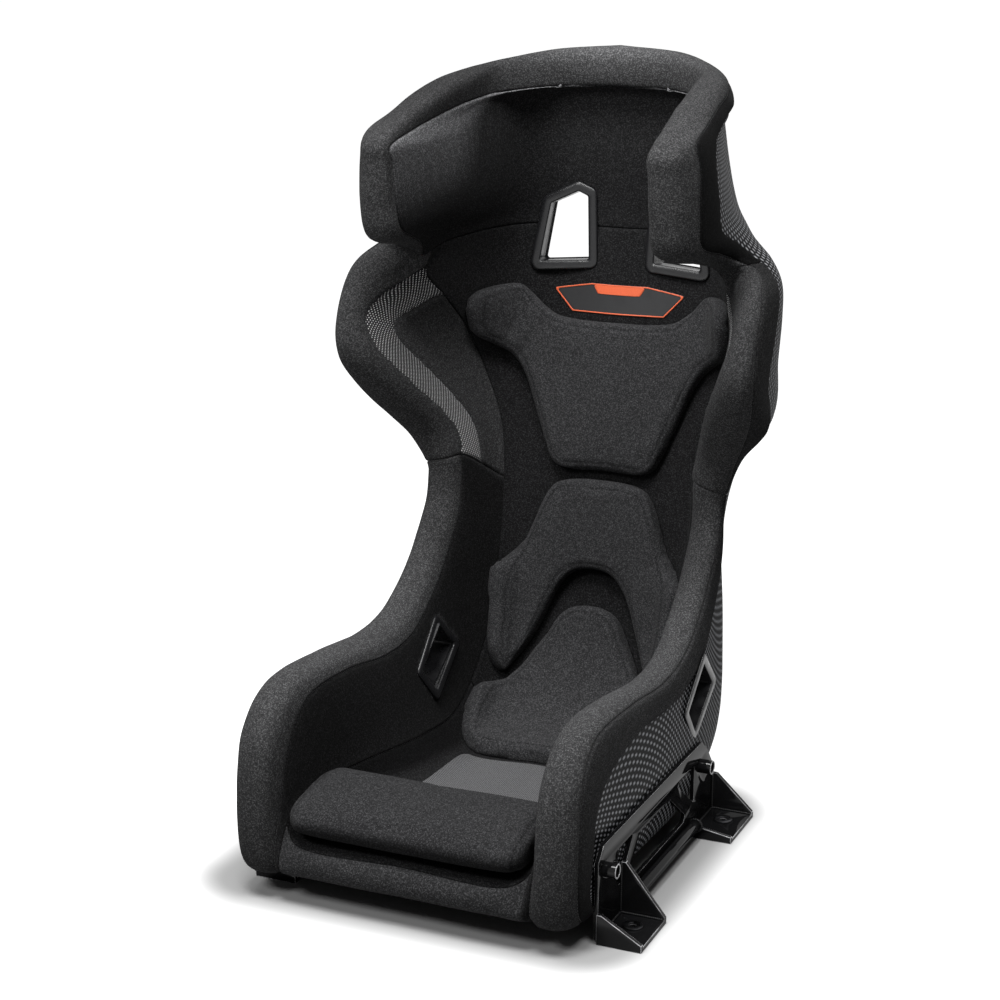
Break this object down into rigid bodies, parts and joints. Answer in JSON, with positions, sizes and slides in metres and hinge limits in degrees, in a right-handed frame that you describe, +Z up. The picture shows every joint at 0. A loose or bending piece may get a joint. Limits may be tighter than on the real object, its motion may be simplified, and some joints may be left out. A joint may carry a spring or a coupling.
{
  "type": "racing bucket seat",
  "caption": "High-backed racing bucket seat with wrap-round head restraint, knit-covered bolsters and pads, harness slots and bolt-down side brackets.",
  "frame": {"origin": "middle of the footprint on the floor, under the middle of the seat's overall box", "axes": "+Z up from the floor the bracket feet stand on, -Y the way the sitter faces, +X to the side that is on the right when the seat is seen from the front"},
  "size_m": [0.5724, 0.7315, 0.962],
  "materials": {
    "carbon": "woven carbon fibre under satin resin",
    "lining_cloth": "fine black knit, matte",
    "cover_cloth": "fine black knit, matte",
    "pad_cloth": "charcoal knit, matte",
    "mesh_cloth": "grey spacer mesh, matte",
    "badge": "moulded rubber patch, orange border",
    "bezel_plastic": "satin black",
    "bracket_paint": "gloss black powder coat",
    "bolt_steel": "black oxide",
    "insert_metal": "plain machined"
  },
  "bodies": {
    "root": {"shell": "carbon", "front_lip": "lining_cloth", "seat_lining": "lining_cloth", "back_lining": "lining_cloth", "head_lining": "lining_cloth", "thigh_bolster_left": "cover_cloth", "thigh_bolster_right": "cover_cloth", "shoulder_bolster_left": "cover_cloth", "shoulder_bolster_right": "cover_cloth", "halo_cover": "cover_cloth", "shoulder_mesh_left": "mesh_cloth", "shoulder_mesh_right": "mesh_cloth", "seat_mesh": "mesh_cloth", "upper_back_pad": "pad_cloth", "lumbar_pad": "pad_cloth", "lower_back_pad": "pad_cloth", "leg_cushion": "pad_cloth", "badge": "badge", "shoulder_bezel_left": "bezel_plastic", "shoulder_bezel_right": "bezel_plastic", "rear_bezel_left": "bezel_plastic", "rear_bezel_right": "bezel_plastic", "lap_bezel_left": "bezel_plastic", "lap_bezel_right": "bezel_plastic", "outer_lap_bezel_left": "bezel_plastic", "outer_lap_bezel_right": "bezel_plastic", "crotch_bezel": "bezel_plastic", "lower_crotch_bezel": "bezel_plastic", "bracket_plate_left": "bracket_paint", "bracket_plate_right": "bracket_paint", "front_foot_left": "bracket_paint", "front_foot_right": "bracket_paint", "rear_foot_left": "bracket_paint", "rear_foot_right": "bracket_paint", "lower_rail_left": "bracket_paint", "lower_rail_right": "bracket_paint", "bolt_boss_left": "bracket_paint", "bolt_boss_right": "bracket_paint", "side_bolt_left": "bolt_steel", "side_bolt_right": "bolt_steel", "shell_insert_left": "insert_metal", "shell_insert_right": "insert_metal", "floor_washer_left": "bolt_steel", "floor_washer_right": "bolt_steel"}
  },
  "joints": []
}
